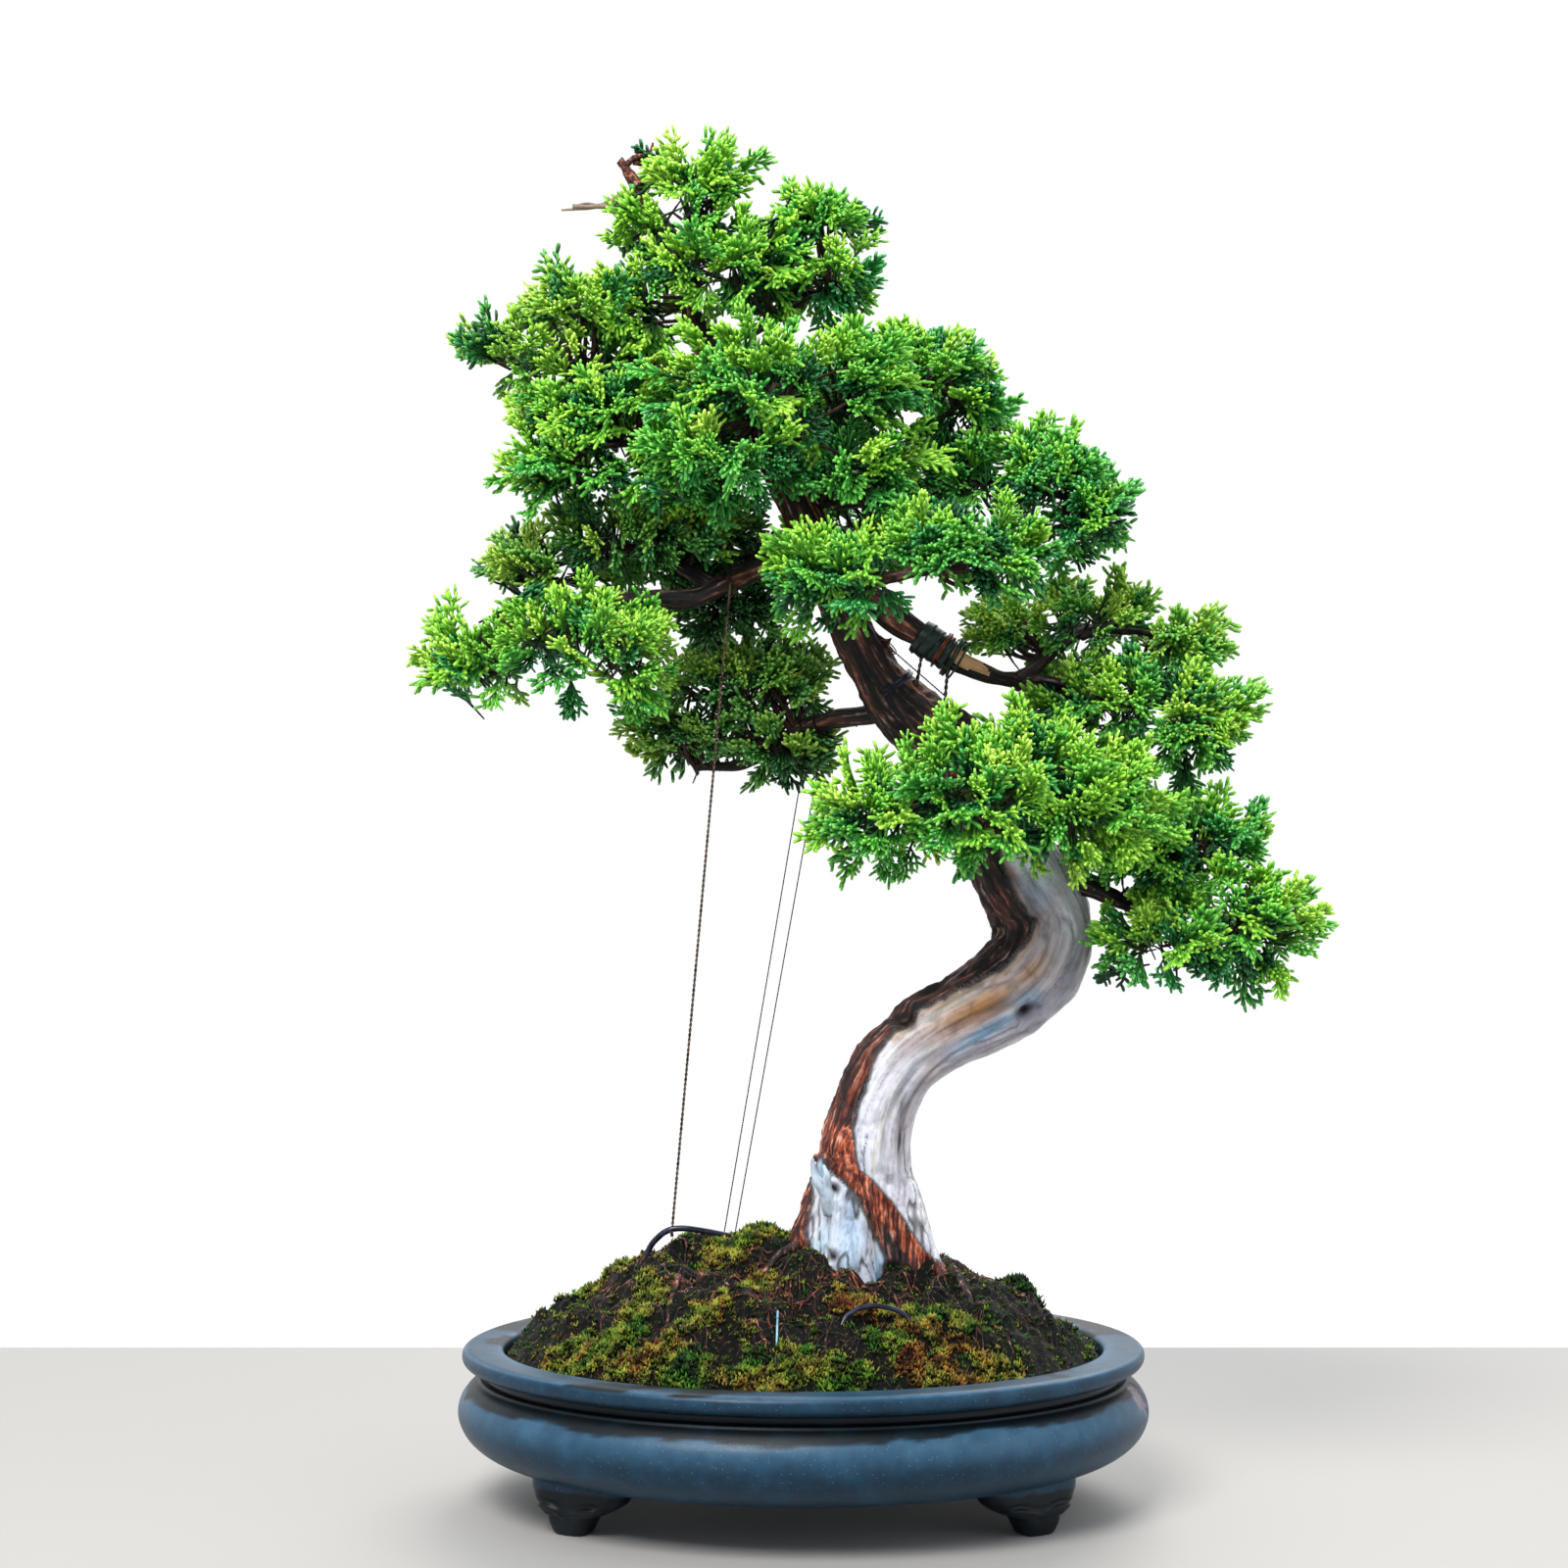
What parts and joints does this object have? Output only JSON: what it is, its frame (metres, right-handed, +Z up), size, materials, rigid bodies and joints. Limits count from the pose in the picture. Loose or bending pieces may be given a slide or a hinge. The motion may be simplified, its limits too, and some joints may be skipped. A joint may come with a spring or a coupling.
{
  "type": "potted juniper bonsai tree",
  "caption": "Juniper bonsai with an S-curved trunk, part bark and part bleached deadwood, pads of scale foliage and guy wires, in an oval stoneware pot on feet.",
  "frame": {"origin": "middle of the underside of the bounding box, at the height of the feet's undersides", "axes": "+Z up along the tree, +X along the long side of the pot, to the right seen from the front; the front of the tree faces -Y"},
  "size_m": [0.406, 0.258, 0.62],
  "materials": {
    "stoneware": "satin",
    "soil": "matte",
    "moss": "matte",
    "drain_mesh": "matte",
    "trunk_wood": "matte",
    "branch_bark": "matte",
    "foliage": "matte",
    "rubber": "satin",
    "steel_wire": "satin"
  },
  "bodies": {
    "root": {"pot": "stoneware", "soil_mound": "soil", "drain_mesh_left": "drain_mesh", "drain_mesh_right": "drain_mesh", "trunk": "trunk_wood", "branch_right_low": "branch_bark", "branch_right_low_upper": "branch_bark", "branch_front_low": "branch_bark", "branch_front_right": "branch_bark", "branch_back_low": "branch_bark", "branch_left_low": "branch_bark", "branch_right_wired": "branch_bark", "branch_right_back": "branch_bark", "branch_left_main": "branch_bark", "branch_left_upper_fork": "branch_bark", "branch_left_inner": "branch_bark", "branch_front_middle": "branch_bark", "branch_back_middle": "branch_bark", "branch_right_upper": "branch_bark", "branch_right_top": "branch_bark", "branch_center_front": "branch_bark", "branch_back_upper": "branch_bark", "branch_left_middle": "branch_bark", "branch_left_upper": "branch_bark", "branch_crown_right": "branch_bark", "jin_apex": "trunk_wood", "jin_crown_left": "trunk_wood", "branch_wrap": "rubber", "trunk_strap": "rubber", "guy_wire_main": "steel_wire", "guy_wire_thin_left": "steel_wire", "guy_wire_thin_right": "steel_wire", "brace_wire_left": "steel_wire", "brace_wire_right": "steel_wire", "anchor_hose": "rubber", "root_tie_front": "rubber", "moss_front_left": "moss", "moss_front_right": "moss", "moss_centre": "moss", "moss_top": "moss", "foliage_crown": "foliage", "foliage_crown_right": "foliage", "foliage_left_upper": "foliage", "foliage_left_middle": "foliage", "foliage_center": "foliage", "foliage_right_top": "foliage", "foliage_right_upper": "foliage", "foliage_front_middle": "foliage", "foliage_left_large": "foliage", "foliage_left_tip": "foliage", "foliage_left_inner": "foliage", "foliage_left_low": "foliage", "foliage_right_back": "foliage", "foliage_right_middle": "foliage", "foliage_low_front": "foliage", "foliage_low_right_upper": "foliage", "foliage_low_right": "foliage", "foliage_back_upper": "foliage", "foliage_back_middle": "foliage", "foliage_back_low": "foliage"}
  },
  "joints": []
}
